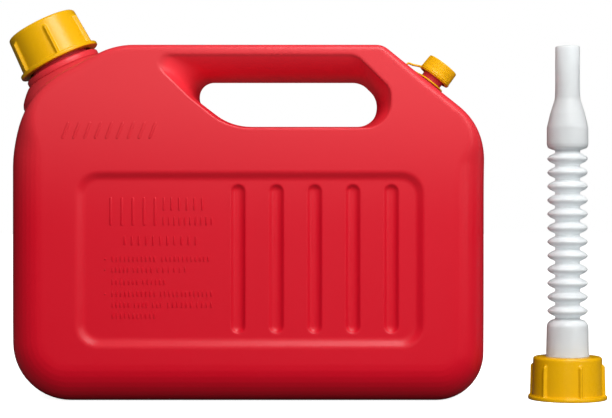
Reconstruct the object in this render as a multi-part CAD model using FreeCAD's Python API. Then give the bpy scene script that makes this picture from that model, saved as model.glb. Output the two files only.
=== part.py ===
"""Ten-litre plastic jerry can with a screw cap, a tethered vent cap and a loose pouring spout.

Millimetres. +Z is up, +X runs towards the vent, and the front face looks towards -Y.
The origin is the centre of the can's base. Each node is written to parts/NODE.step.
"""
import FreeCAD
import Part
import math
import os

V = FreeCAD.Vector

# ---- can body ----
HALF_WIDTH = 184.0
CAN_HEIGHT = 276.0
HALF_DEPTH = 66.0
WALL = 2.0
OVERSHOOT = 1.5
BASE_CORNER_R = 44.0
BASE_EDGE_R = 30.0
SIDE_EDGE_R = 26.0
SIDE_EASE = 0.4
TOP_EDGE_R = 8.0
SHOULDER_EDGE_R = 11.0
LEFT_SLOPE_DEG = 27.0
LEFT_SLOPE_X = -116.0
LEFT_SLOPE_Z = 268.0
LEFT_BEND_R = 62.0
RIGHT_SLOPE_DEG = 37.5
RIGHT_SLOPE_X = 117.0
RIGHT_SLOPE_Z = 266.0
RIGHT_BEND_R = 56.0
CROWN_R = 10.0

# ---- grip ----
GRIP_HALF_DEPTH = 23.0
GRIP_HOLE = [(-40.5, 251.4, 9.5), (93.5, 251.4, 18.0), (105.5, 232.3, 18.0), (93.5, 213.2, 18.0),
             (-5.0, 213.2, 26.0), (-40.5, 237.0, 8.0)]
SCOOP_RIM = [(-76.0, 268.6, 9.0), (76.0, 268.6, 13.0), (110.0, 236.0, 13.0), (97.0, 211.6, 12.0),
             (-6.0, 211.6, 26.0), (-43.0, 236.0, 6.0)]

# ---- side panel with flutes ----
PANEL_X = (-132.0, 136.0)
PANEL_Z = (43.0, 178.7)
PANEL_R = 16.0
PANEL_DEPTH = 3.0
PANEL_SLOPE = 6.0
FLUTE_X = (-7.2, 22.2, 51.6, 81.0, 110.6)
FLUTE_Z = (55.0, 167.0)
FLUTE_WIDTH = 11.0
FLUTE_DEPTH = 2.6

# ---- filler neck and main cap, along an axis tilted to the left ----
NECK_TILT_DEG = -LEFT_SLOPE_DEG
NECK_AT = V(-153.5, 0, 268.1)
BOSS_R = 38.2
BOSS_TOP = -8.5
BOSS_BOTTOM = -24.0
COLLAR_RING_R = 31.0
COLLAR_RING_TOP = -3.0
NECK_ROOT_R = 23.8
NECK_CREST_R = 26.0
NECK_BORE_R = 20.8
NECK_TOP = 29.7
CAP_HEIGHT = 33.7
CAP_R = 28.3
CAP_FLANGE_R = 32.2
CAP_FLANGE_T = 3.2
CAP_BORE_R = 26.6
CAP_RIDGE_R = 24.4
CAP_ROOF_T = 2.3
CAP_RIBS = 6
MAIN_CAP_RIB_DEG = 33.0
COLLAR_RIB_DEG = 42.0
CAP_RIB_R = 30.9
CAP_RIB_WIDTH = 4.0
CAP_RIB_TOP = 27.5
CAP_PITCH = 6.0
THREAD_TURNS = 1.4
LINER_T = 1.4

# ---- vent neck and vent cap, along an axis tilted to the right ----
VENT_TILT_DEG = RIGHT_SLOPE_DEG
VENT_AT = V(148.0, 0, 256.1)
VENT_PLINTH_R = 11.8
VENT_PLINTH_TOP = -6.4
VENT_ROOT_R = 9.0
VENT_CREST_R = 10.5
VENT_BORE_R = 6.3
VENT_TOP = 9.4
VENT_CAP_HEIGHT = 12.7
VENT_CAP_R = 13.0
VENT_CAP_BORE_R = 11.0
VENT_RIDGE_R = 9.5
VENT_ROOF_T = 1.8
VENT_PITCH = 3.0
VENT_TURNS = 1.2
VENT_GROOVE_R = 11.9
VENT_GROOVE = (0.6, 2.2)

# ---- tether ----
TETHER_RING_R = (9.2, 11.6)
TETHER_RING_T = (-6.3, -5.1)
TETHER_COLLAR_R = (12.15, 13.6)
TETHER_COLLAR_T = (0.8, 2.0)
STRAP_WIDTH = 5.0
STRAP_T = 1.1
STRAP_REACH = 24.0

# ---- pouring spout, standing beside the can ----
SPOUT_X = 251.3
SPOUT_Y = -30.0
SPOUT_HEIGHT = 278.0
SPOUT_WALL = 1.4
TIP_R = 9.6
BULB_R = 16.2
WAIST_R = 10.4
BELLOWS_R = 15.9
BELLOWS_ROOT_R = 10.3
BELLOWS_FIRST_Z = 69.5
BELLOWS_PITCH = 10.91
BELLOWS_RIGID_FROM = 5
BELLOWS_RIGID_TO = 7
BELLOWS_COUNT = 12
TUBE_R = 16.6
TUBE_TOP_Z = 61.5
COLLAR_HOLE_R = 17.0
FOOT_R = 25.6
FOOT_Z = (27.4, 29.6)
BEAD_R = 18.0
BEAD_Z = (34.1, 35.9)
GASKET_R = (17.5, 25.4)
GASKET_Z = (25.4, 27.3)


def rounded_wire(corners):
    """Closed planar wire through (point, radius) corners, each corner rounded to its radius."""
    arcs = []
    count = len(corners)
    for i in range(count):
        point, radius = corners[i]
        back = (corners[i - 1][0] - point).normalize()
        ahead = (corners[(i + 1) % count][0] - point).normalize()
        half = back.getAngle(ahead) / 2.0
        if radius <= 0.0:
            arcs.append((point, point, point))
            continue
        reach = radius / math.tan(half)
        middle = (back + ahead).normalize()
        centre = point + middle * (radius / math.sin(half))
        arcs.append((point + back * reach, centre - middle * radius, point + ahead * reach))
    edges = []
    for i in range(count):
        start, mid, end = arcs[i]
        if start.distanceToPoint(end) > 1e-6:
            edges.append(Part.Arc(start, mid, end).toShape())
        follow = arcs[(i + 1) % count][0]
        if end.distanceToPoint(follow) > 1e-6:
            edges.append(Part.makeLine(end, follow))
    return Part.Wire(edges)


def faceted(corners, steps=6):
    """Points along rounded (point, radius) corners, the same count at each corner."""
    points = []
    count = len(corners)
    for i in range(count):
        point, radius = corners[i]
        back = (corners[i - 1][0] - point).normalize()
        ahead = (corners[(i + 1) % count][0] - point).normalize()
        half = back.getAngle(ahead) / 2.0
        start = point + back * (radius / math.tan(half))
        centre = point + (back + ahead).normalize() * (radius / math.sin(half))
        axis = back.cross(ahead).normalize()
        sweep = math.pi - 2.0 * half
        arm = start - centre
        for step in range(steps + 1):
            turn = FreeCAD.Rotation(axis, -math.degrees(sweep) * step / steps)
            points.append(centre + turn.multVec(arm))
    return points


def polygon_face(points):
    """Flat face inside a closed run of points."""
    return Part.Face(Part.makePolygon(points + [points[0]]))


def flat_loft(first, second):
    """Solid of flat triangles between two closed runs with the same count of points."""
    faces = [polygon_face(first), polygon_face(second)]
    count = len(first)
    for i in range(count):
        j = (i + 1) % count
        faces.append(polygon_face([first[i], first[j], second[j]]))
        faces.append(polygon_face([first[i], second[j], second[i]]))
    solid = Part.Solid(Part.Shell(faces))
    if solid.Volume < 0:
        solid.reverse()
    return solid


def shrunk(corners, amount):
    """Corners of a convex outline moved inwards by an amount, or outwards by a negative one."""
    moved = []
    count = len(corners)
    for i in range(count):
        point, radius = corners[i]
        back = (corners[i - 1][0] - point).normalize()
        ahead = (corners[(i + 1) % count][0] - point).normalize()
        half = back.getAngle(ahead) / 2.0
        middle = (back + ahead).normalize()
        moved.append((point + middle * (amount / math.sin(half)), max(radius - amount, 0.2)))
    return moved


def front_corners(corners, y=0.0):
    """Corners in the front plane from (x, z, radius) corners."""
    return [(V(x, y, z), r) for x, z, r in corners]


def inset(corners, amount):
    """Face inside rounded corners, shrunk by an amount, or grown by a negative one."""
    return Part.Face(rounded_wire(shrunk(corners, amount)))


def blank(amount):
    """Outside shape of the can without its features, shrunk all round by an amount."""
    left = math.tan(math.radians(LEFT_SLOPE_DEG))
    right = math.tan(math.radians(RIGHT_SLOPE_DEG))
    outline = front_corners([
        (-HALF_WIDTH, 0.0, BASE_CORNER_R),
        (-HALF_WIDTH, LEFT_SLOPE_Z - (HALF_WIDTH + LEFT_SLOPE_X) * left, LEFT_BEND_R),
        (LEFT_SLOPE_X + (CAN_HEIGHT - LEFT_SLOPE_Z) / left, CAN_HEIGHT, CROWN_R),
        (RIGHT_SLOPE_X - (CAN_HEIGHT - RIGHT_SLOPE_Z) / right, CAN_HEIGHT, CROWN_R),
        (HALF_WIDTH, RIGHT_SLOPE_Z - (HALF_WIDTH - RIGHT_SLOPE_X) * right, RIGHT_BEND_R),
        (HALF_WIDTH, 0.0, BASE_CORNER_R),
    ], y=-100.0)
    shape = inset(outline, amount).extrude(V(0, 200, 0))
    side = [
        (V(-300, -HALF_DEPTH, 0), BASE_EDGE_R),
        (V(-300, -HALF_DEPTH, CAN_HEIGHT), TOP_EDGE_R),
        (V(-300, HALF_DEPTH, CAN_HEIGHT), TOP_EDGE_R),
        (V(-300, HALF_DEPTH, 0), BASE_EDGE_R),
    ]
    shape = shape.common(inset(side, amount).extrude(V(600, 0, 0)))
    wide = HALF_WIDTH + SIDE_EASE
    plan = [
        (V(-wide, -HALF_DEPTH, -10), SIDE_EDGE_R),
        (V(wide, -HALF_DEPTH, -10), SIDE_EDGE_R),
        (V(wide, HALF_DEPTH, -10), SIDE_EDGE_R),
        (V(-wide, HALF_DEPTH, -10), SIDE_EDGE_R),
    ]
    shape = shape.common(inset(plan, amount).extrude(V(0, 0, 400)))
    slopes = ((LEFT_SLOPE_X, LEFT_SLOPE_Z, LEFT_SLOPE_DEG), (RIGHT_SLOPE_X, RIGHT_SLOPE_Z, -RIGHT_SLOPE_DEG))
    for x, z, degrees in slopes:
        turn = math.radians(degrees)
        along = V(math.cos(turn), 0, math.sin(turn))
        out = V(-math.sin(turn), 0, math.cos(turn))
        start = V(x, 0, z) - along * 400
        across = V(0, HALF_DEPTH, 0)
        section = [
            (start - across - out * 600, 1.0),
            (start + across - out * 600, 1.0),
            (start + across, SHOULDER_EDGE_R),
            (start - across, SHOULDER_EDGE_R),
        ]
        shape = shape.common(inset(section, amount).extrude(along * 800))
    return shape


def scoop(side, grow):
    """Tapered cut from outside the face at one side down to the grip, grown by an amount."""
    stretch = (HALF_DEPTH + OVERSHOOT - GRIP_HALF_DEPTH) / (HALF_DEPTH - GRIP_HALF_DEPTH)
    outer = []
    for rim, hole in zip(SCOOP_RIM, GRIP_HOLE):
        outer.append(tuple(h + (r - h) * stretch for r, h in zip(rim, hole)))
    outer = shrunk(front_corners(outer, side * (HALF_DEPTH + OVERSHOOT)), -grow)
    inner = shrunk(front_corners(GRIP_HOLE, side * (GRIP_HALF_DEPTH - grow)), -grow)
    return flat_loft(faceted(outer), faceted(inner))


def grip_cuts(grow):
    """Everything cut away for the hand, grown by an amount."""
    hole = polygon_face(faceted(shrunk(front_corners(GRIP_HOLE, -100.0), -grow)))
    shape = hole.extrude(V(0, 200, 0))
    for side in (-1, 1):
        shape = shape.fuse(scoop(side, grow))
    return shape


def panel_cuts(side, grow):
    """Recessed panel and its flutes at one face, grown by an amount."""
    face = side * (HALF_DEPTH + OVERSHOOT)
    floor = side * (HALF_DEPTH - PANEL_DEPTH - grow)
    wires = []
    for y, step in ((face, -PANEL_SLOPE * OVERSHOOT / PANEL_DEPTH), (floor, PANEL_SLOPE)):
        low_x, high_x = PANEL_X[0] + step - grow, PANEL_X[1] - step + grow
        low_z, high_z = PANEL_Z[0] + step - grow, PANEL_Z[1] - step + grow
        radius = PANEL_R - 0.5 * step + grow
        corners = [(low_x, low_z, radius), (low_x, high_z, radius),
                   (high_x, high_z, radius), (high_x, low_z, radius)]
        wires.append(rounded_wire(front_corners(corners, y)))
    shape = Part.makeLoft(wires, True, True)
    half = FLUTE_WIDTH / 2.0 + grow
    depth = FLUTE_DEPTH + grow
    radius = (half * half + depth * depth) / (2.0 * depth)
    level = side * (HALF_DEPTH - PANEL_DEPTH)
    for x in FLUTE_X:
        centre = V(x, level + side * (radius - depth), FLUTE_Z[0] - grow)
        length = FLUTE_Z[1] - FLUTE_Z[0] + 2 * grow
        flute = Part.makeCylinder(radius, length, centre, V(0, 0, 1))
        near = min(level, level - side * depth * 2)
        keep = Part.makeBox(2 * half + 2, 2 * depth, length, V(x - half - 1, near, FLUTE_Z[0] - grow))
        shape = shape.fuse(flute.common(keep))
    return shape


def placed(shape, at, tilt_deg):
    """Shape built about +Z, tilted about Y and moved to its seat on the can."""
    moved = shape.copy()
    moved.rotate(V(0, 0, 0), V(0, 1, 0), tilt_deg)
    moved.translate(at)
    return moved


def disc(radius, low, high):
    """Cylinder about the local axis between two heights."""
    return Part.makeCylinder(radius, high - low, V(0, 0, low), V(0, 0, 1))


def ring(inner, outer, low, high):
    """Flat ring about the local axis."""
    return disc(outer, low, high).cut(disc(inner, low - 1, high + 1))


def turned(points):
    """Solid of revolution about the local axis from closed (radius, height) points."""
    wire = Part.makePolygon([V(r, 0, z) for r, z in points] + [V(points[0][0], 0, points[0][1])])
    return Part.Face(wire).revolve(V(0, 0, 0), V(0, 0, 1), 360)


def ridge(root, crest, pitch, turns, low, root_width):
    """Helical thread ridge between a root radius and a crest radius."""
    helix = Part.makeHelix(pitch, pitch * turns, root)
    sign = 1.0 if crest > root else -1.0
    foot = root - sign * 0.3
    half_root = root_width / 2.0
    half_crest = root_width * 0.27
    profile = Part.makePolygon([V(foot, 0, -half_root), V(root, 0, -half_root), V(crest, 0, -half_crest),
                                V(crest, 0, half_crest), V(root, 0, half_root), V(foot, 0, half_root),
                                V(foot, 0, -half_root)])
    pipe = Part.BRepOffsetAPI.MakePipeShell(Part.Wire(helix.Edges))
    pipe.setFrenetMode(True)
    pipe.add(profile)
    pipe.build()
    pipe.makeSolid()
    shape = pipe.shape()
    shape.translate(V(0, 0, low))
    return shape


def can_body():
    """Hollow can: blank less its grip, panels and cavity, with the boss under the filler neck."""
    outside = blank(0.0)
    boss = placed(disc(BOSS_R, BOSS_BOTTOM, BOSS_TOP), NECK_AT, NECK_TILT_DEG)
    outside = outside.fuse(boss)
    cavity = blank(WALL)
    outside = outside.cut(grip_cuts(0.0))
    cavity = cavity.cut(grip_cuts(WALL))
    for side in (-1, 1):
        outside = outside.cut(panel_cuts(side, 0.0))
        cavity = cavity.cut(panel_cuts(side, WALL))
    pocket = placed(disc(BOSS_R - WALL - 2.0, BOSS_BOTTOM - 8.0, BOSS_TOP - WALL), NECK_AT, NECK_TILT_DEG)
    bore = placed(disc(NECK_BORE_R, BOSS_BOTTOM - 8.0, BOSS_TOP + 1.0), NECK_AT, NECK_TILT_DEG)
    vent = placed(disc(VENT_BORE_R, vent_surface() - 12.0, vent_surface() + 1.0), VENT_AT, VENT_TILT_DEG)
    hollow = cavity.fuse(pocket).fuse(bore).fuse(vent)
    return outside.cut(hollow).removeSplitter()


def vent_surface():
    """Height of the right shoulder along the vent axis."""
    turn = math.radians(RIGHT_SLOPE_DEG)
    normal = V(math.sin(turn), 0, math.cos(turn))
    return (V(RIGHT_SLOPE_X, 0, RIGHT_SLOPE_Z) - VENT_AT).dot(normal)


def filler_neck():
    """Threaded neck with the ring under its cap."""
    shape = disc(COLLAR_RING_R, BOSS_TOP, COLLAR_RING_TOP).fuse(disc(NECK_ROOT_R, BOSS_TOP, NECK_TOP))
    shape = shape.fuse(ridge(NECK_ROOT_R, NECK_CREST_R, CAP_PITCH, THREAD_TURNS, 15.0, 2.6))
    shape = shape.cut(disc(NECK_BORE_R, BOSS_TOP - 1, NECK_TOP + 1))
    return placed(shape, NECK_AT, NECK_TILT_DEG)


def ribbed_shell(hole_radius, rib_start_deg):
    """Screw cap shell with ribs and a flange, open below, with an optional hole in its roof."""
    soft = 2.6
    outside = turned([(0, 0), (CAP_FLANGE_R - 0.6, 0), (CAP_FLANGE_R, 0.6),
                      (CAP_FLANGE_R, CAP_FLANGE_T - 0.8), (CAP_FLANGE_R - 0.8, CAP_FLANGE_T),
                      (CAP_R, CAP_FLANGE_T), (CAP_R - 0.7, CAP_HEIGHT - soft),
                      (CAP_R - 1.5, CAP_HEIGHT - 0.8), (CAP_R - 0.7 - soft, CAP_HEIGHT), (0, CAP_HEIGHT)])
    for i in range(CAP_RIBS):
        rib = Part.makeBox(CAP_RIB_R - CAP_R + 2.0, CAP_RIB_WIDTH, CAP_RIB_TOP - 1.0,
                           V(CAP_R - 2.0, -CAP_RIB_WIDTH / 2.0, 1.0))
        rib.rotate(V(0, 0, 0), V(0, 0, 1), rib_start_deg + 360.0 / CAP_RIBS * i)
        outside = outside.fuse(rib)
    shape = outside.cut(disc(CAP_BORE_R, -1, CAP_HEIGHT - CAP_ROOF_T))
    if hole_radius > 0.0:
        shape = shape.cut(disc(hole_radius, 0, CAP_HEIGHT + 1))
    low = 15.0 - CAP_PITCH / 2.0
    return shape.fuse(ridge(CAP_BORE_R, CAP_RIDGE_R, CAP_PITCH, THREAD_TURNS, low, 2.2))


def vent_neck():
    """Small threaded neck on a plinth, for the vent cap."""
    base = vent_surface()
    shape = disc(VENT_PLINTH_R, base, VENT_PLINTH_TOP).fuse(disc(VENT_ROOT_R, base, VENT_TOP))
    shape = shape.fuse(ridge(VENT_ROOT_R, VENT_CREST_R, VENT_PITCH, VENT_TURNS, 4.6, 1.3))
    shape = shape.cut(disc(VENT_BORE_R, base - 1, VENT_TOP + 1))
    return placed(shape, VENT_AT, VENT_TILT_DEG)


def vent_cap():
    """Vent cap with a groove round its foot for the tether."""
    outside = turned([(0, 0), (VENT_CAP_R - 0.1, 0), (VENT_CAP_R - 0.1, VENT_GROOVE[0]),
                      (VENT_GROOVE_R, VENT_GROOVE[0]), (VENT_GROOVE_R, VENT_GROOVE[1]),
                      (VENT_CAP_R, VENT_GROOVE[1]), (VENT_CAP_R - 0.3, VENT_CAP_HEIGHT - 1.0),
                      (VENT_CAP_R - 1.3, VENT_CAP_HEIGHT), (0, VENT_CAP_HEIGHT)])
    shape = outside.cut(disc(VENT_CAP_BORE_R, -1, VENT_CAP_HEIGHT - VENT_ROOF_T))
    low = 4.6 - VENT_PITCH / 2.0
    shape = shape.fuse(ridge(VENT_CAP_BORE_R, VENT_RIDGE_R, VENT_PITCH, VENT_TURNS, low, 1.0))
    return placed(shape, VENT_AT, VENT_TILT_DEG)


def tether_strap():
    """Hairpin strap that runs uphill from the tether ring and back to the collar."""
    ring_t = (TETHER_RING_T[0] + TETHER_RING_T[1]) / 2.0
    collar_t = (TETHER_COLLAR_T[0] + TETHER_COLLAR_T[1]) / 2.0
    half = STRAP_T / 2.0
    bend = 1.5
    low = [V(-9.6, 0, ring_t), V(-STRAP_REACH + bend, 0, ring_t)]
    tip = V(-STRAP_REACH, 0, ring_t + bend)
    high = [V(-STRAP_REACH + bend, 0, ring_t + 2 * bend), V(-12.3, 0, collar_t)]
    rise = (high[1] - high[0]).normalize()
    normal = V(-rise.z, 0, rise.x)
    outer = [V(low[0].x, 0, low[0].z - half), V(low[1].x, 0, low[1].z - half),
             V(tip.x - half, 0, tip.z), high[0] + normal * half, high[1] + normal * half]
    inner = [high[1] - normal * half, high[0] - normal * half,
             V(tip.x + half, 0, tip.z), V(low[1].x, 0, low[1].z + half), V(low[0].x, 0, low[0].z + half)]
    edges = [Part.makeLine(outer[0], outer[1]),
             Part.Arc(outer[1], outer[2], outer[3]).toShape(),
             Part.makeLine(outer[3], outer[4]),
             Part.makeLine(outer[4], inner[0]),
             Part.makeLine(inner[0], inner[1]),
             Part.Arc(inner[1], inner[2], inner[3]).toShape(),
             Part.makeLine(inner[3], inner[4]),
             Part.makeLine(inner[4], outer[0])]
    shape = Part.Face(Part.Wire(edges)).extrude(V(0, STRAP_WIDTH, 0))
    shape.translate(V(0, -STRAP_WIDTH / 2.0, 0))
    shape = shape.cut(disc(TETHER_RING_R[1], -20, ring_t + bend))
    shape = shape.cut(disc(TETHER_COLLAR_R[1], ring_t + bend, 10))
    return placed(shape, VENT_AT, VENT_TILT_DEG)


def bellows(first, last):
    """Folded tube from one convolution to another, counted from the bottom."""
    low = BELLOWS_FIRST_Z + (first - 0.5) * BELLOWS_PITCH
    high = BELLOWS_FIRST_Z + (last - 0.5) * BELLOWS_PITCH
    outer = [(BELLOWS_ROOT_R, low)]
    for i in range(first, last):
        peak = BELLOWS_FIRST_Z + i * BELLOWS_PITCH
        outer += [(BELLOWS_R - 0.7, peak - 1.9), (BELLOWS_R, peak), (BELLOWS_R - 0.7, peak + 1.9)]
        outer += [(BELLOWS_ROOT_R, peak + BELLOWS_PITCH / 2.0)]
    inner = [(r - SPOUT_WALL, z) for r, z in outer]
    return spout_place(turned(outer + inner[::-1])), low, high


def spout_place(shape):
    """Shape moved to where the spout stands."""
    moved = shape.copy()
    moved.translate(V(SPOUT_X, SPOUT_Y, 0))
    return moved


def spout_base():
    """Foot, snap bead and wide tube at the bottom of the spout."""
    top = BELLOWS_FIRST_Z - 0.5 * BELLOWS_PITCH
    inner = TUBE_R - SPOUT_WALL
    shape = turned([(inner, FOOT_Z[0]), (FOOT_R, FOOT_Z[0]), (FOOT_R, FOOT_Z[1]), (TUBE_R, FOOT_Z[1]),
                    (TUBE_R, BEAD_Z[0]), (BEAD_R, BEAD_Z[0]), (TUBE_R, BEAD_Z[1]),
                    (TUBE_R, TUBE_TOP_Z - 2.5), (TUBE_R - 2.0, TUBE_TOP_Z), (BELLOWS_ROOT_R, top),
                    (BELLOWS_ROOT_R - SPOUT_WALL, top), (inner - 2.0, TUBE_TOP_Z - 1.4),
                    (inner, TUBE_TOP_Z - 3.6)])
    return spout_place(shape)


def spout_nozzle():
    """Bulb and straight outlet at the top of the spout."""
    low = BELLOWS_FIRST_Z + (BELLOWS_COUNT - 0.5) * BELLOWS_PITCH
    outer = [(BELLOWS_ROOT_R, low), (WAIST_R, low + 1.0), (BULB_R - 1.2, 198.2), (BULB_R, 200.5),
             (BULB_R, 215.5), (BULB_R - 0.8, 218.0), (TIP_R + 0.5, 236.0), (TIP_R, 239.0),
             (TIP_R, SPOUT_HEIGHT)]
    inner = [(r - SPOUT_WALL, z) for r, z in outer]
    return spout_place(turned(outer + inner[::-1]))


def build():
    """All nodes by name."""
    lower = bellows(0, BELLOWS_RIGID_FROM)[0]
    middle = bellows(BELLOWS_RIGID_FROM, BELLOWS_RIGID_TO)[0]
    upper = bellows(BELLOWS_RIGID_TO, BELLOWS_COUNT)[0]
    liner_top = CAP_HEIGHT - CAP_ROOF_T - 0.1
    vent_liner_top = VENT_CAP_HEIGHT - VENT_ROOF_T - 0.1
    return {
        "can_body": can_body(),
        "filler_neck": filler_neck(),
        "vent_neck": vent_neck(),
        "main_cap": placed(ribbed_shell(0.0, MAIN_CAP_RIB_DEG), NECK_AT, NECK_TILT_DEG),
        "main_cap_liner": placed(disc(CAP_BORE_R - 0.6, liner_top - LINER_T + 0.1, liner_top), NECK_AT,
                                 NECK_TILT_DEG),
        "vent_cap": vent_cap(),
        "vent_cap_liner": placed(disc(VENT_CAP_BORE_R - 0.4, vent_liner_top - 1.0, vent_liner_top), VENT_AT,
                                 VENT_TILT_DEG),
        "tether_ring": placed(ring(TETHER_RING_R[0], TETHER_RING_R[1], TETHER_RING_T[0], TETHER_RING_T[1]),
                              VENT_AT, VENT_TILT_DEG),
        "tether_strap": tether_strap(),
        "tether_collar": placed(ring(TETHER_COLLAR_R[0], TETHER_COLLAR_R[1], TETHER_COLLAR_T[0],
                                     TETHER_COLLAR_T[1]), VENT_AT, VENT_TILT_DEG),
        "spout_base": spout_base(),
        "spout_bellows_lower": lower,
        "spout_bellows_middle": middle,
        "spout_bellows_upper": upper,
        "spout_nozzle": spout_nozzle(),
        "spout_collar": spout_place(ribbed_shell(COLLAR_HOLE_R, COLLAR_RIB_DEG)),
        "spout_gasket": spout_place(ring(GASKET_R[0], GASKET_R[1], GASKET_Z[0], GASKET_Z[1])),
    }


os.makedirs("parts", exist_ok=True)
for name, shape in build().items():
    solids = shape.Solids
    print(name, len(solids), shape.isValid(), round(shape.Volume / 1000.0, 2), shape.BoundBox)
    shape.exportStep("parts/%s.step" % name)
inside = blank(WALL).cut(grip_cuts(WALL)).cut(panel_cuts(-1, WALL)).cut(panel_cuts(1, WALL))
print("inner volume in litres", round(inside.Volume / 1e6, 3))
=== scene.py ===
"""Looks of a ten-litre plastic jerry can, its two screw caps, the tether and the pouring spout.

Sizes are in millimetres in the dataclasses and become metres in the meshes. The frame is the CAD
model's: origin at the centre of the can's base, +X towards the vent, +Z up, front face towards -Y.
"""

import logging
import math
from dataclasses import dataclass, field
from enum import Enum
from typing import Callable, Sequence

import bpy
from mathutils import Matrix, Vector


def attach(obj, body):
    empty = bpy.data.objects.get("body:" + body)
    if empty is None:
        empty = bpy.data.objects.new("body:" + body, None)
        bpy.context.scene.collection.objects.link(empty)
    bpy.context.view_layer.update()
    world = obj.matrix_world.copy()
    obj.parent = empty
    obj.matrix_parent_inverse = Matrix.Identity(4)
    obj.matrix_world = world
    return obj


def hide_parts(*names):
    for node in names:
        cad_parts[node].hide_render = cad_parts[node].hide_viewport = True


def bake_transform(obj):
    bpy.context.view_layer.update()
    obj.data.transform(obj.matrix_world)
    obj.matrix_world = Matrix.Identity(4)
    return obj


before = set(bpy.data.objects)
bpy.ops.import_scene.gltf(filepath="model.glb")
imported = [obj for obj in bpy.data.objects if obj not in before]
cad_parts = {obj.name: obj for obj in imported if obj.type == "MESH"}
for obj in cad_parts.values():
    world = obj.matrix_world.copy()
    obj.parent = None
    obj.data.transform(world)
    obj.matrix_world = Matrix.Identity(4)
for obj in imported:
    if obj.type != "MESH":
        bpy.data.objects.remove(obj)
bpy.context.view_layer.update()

LOG = logging.getLogger("jerry_can")
MM = 0.001
# depth of a point in a spout fold; it also masks the painted glow in the fold valleys
FOLD_DEPTH = "fold_depth"
# mask of the painted glow that lightens the grip's scoop
SCOOP_GLOW_MASK = "scoop_glow_mask"

Point2 = tuple[float, float]
Point3 = tuple[float, float, float]
Corner = tuple[float, float, float]
Row = list[Point3]


# --------------------------------------------------------------------------- outlines
def ease(value: float, low: float, high: float) -> float:
    """Smooth step.

    Args:
        value: the number to place between the limits.
        low: where the step starts, at 0.
        high: where the step ends, at 1.

    Returns:
        A number from 0 to 1.
    """
    share = min(max((value - low) / (high - low), 0.0), 1.0)
    return share * share * (3.0 - 2.0 * share)


def turned(count: int, z: float, reach: Callable[[float], float]) -> Row:
    """Row of points round the local Z axis.

    Args:
        count: how many points the row has.
        z: the row's height.
        reach: gives the distance from the axis at an angle in radians.

    Returns:
        The row.
    """
    row = []
    for i in range(count):
        turn = 2.0 * math.pi * i / count
        far = reach(turn)
        row.append((far * math.cos(turn), far * math.sin(turn), z))
    return row


def denser(course: Sequence[Point2], parts: Callable[[Point2, Point2], int]) -> list[Point2]:
    """Course with more points along its runs.

    Args:
        course: the points, in order.
        parts: gives how many parts the run between two points is cut into.

    Returns:
        The course with the new points in their places.
    """
    points: list[Point2] = []
    for start, end in zip(course, course[1:]):
        (r0, z0), (r1, z1) = start, end
        count = max(1, parts(start, end))
        points += [(r0 + (r1 - r0) * i / count, z0 + (z1 - z0) * i / count) for i in range(count)]
    return [*points, course[-1]]


def rounded(corners: Sequence[Corner], steps: int = 8, closed: bool = True) -> list[Point2]:
    """Points along straight runs whose corners are rounded.

    Args:
        corners: (across, up, radius) of each corner, in order.
        steps: pieces of each rounded corner.
        closed: whether the last corner runs back to the first.

    Returns:
        The points of the outline, the same count at each rounded corner.
    """
    points: list[Point2] = []
    count = len(corners)
    for i, (a, b, radius) in enumerate(corners):
        here = Vector((a, b))
        if radius <= 0.0 or (not closed and i in (0, count - 1)):
            points.append((a, b))
            continue
        back = (Vector(corners[i - 1][:2]) - here).normalized()
        ahead = (Vector(corners[(i + 1) % count][:2]) - here).normalized()
        half = back.angle(ahead) / 2.0
        centre = here + (back + ahead).normalized() * (radius / math.sin(half))
        start = here + back * (radius / math.tan(half)) - centre
        sweep = math.pi - 2.0 * half
        turn = -1.0 if back.cross(ahead) > 0.0 else 1.0
        for step in range(steps + 1):
            angle = turn * sweep * step / steps
            arm = Matrix.Rotation(angle, 2) @ start
            points.append((centre.x + arm.x, centre.y + arm.y))
    return points


def evened(points: Sequence[Point2], pitch: float) -> list[Point2]:
    """Adds points on long straight runs of a closed outline.

    Args:
        points: the outline's points.
        pitch: the longest run to leave.

    Returns:
        The outline with no run longer than the pitch.
    """
    result: list[Point2] = []
    count = len(points)
    for i in range(count):
        a = Vector(points[i])
        b = Vector(points[(i + 1) % count])
        parts = max(1, math.ceil((b - a).length / pitch))
        for part in range(parts):
            spot = a.lerp(b, part / parts)
            result.append((spot.x, spot.y))
    return result


def normals(points: Sequence[Point2]) -> list[Vector]:
    """Outward directions of a closed outline at each of its points.

    Args:
        points: the outline's points, either way round.

    Returns:
        One unit vector for each point.
    """
    count = len(points)
    area = sum(points[i][0] * points[(i + 1) % count][1] - points[(i + 1) % count][0] * points[i][1]
               for i in range(count))
    side = 1.0 if area > 0.0 else -1.0
    result = []
    for i in range(count):
        run = Vector(points[(i + 1) % count]) - Vector(points[i - 1])
        result.append(Vector((run.y, -run.x)).normalized() * side)
    return result


# --------------------------------------------------------------------------- bench
class Cut(Enum):
    """How one solid works on another."""

    TAKE = "DIFFERENCE"
    ADD = "UNION"


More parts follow.
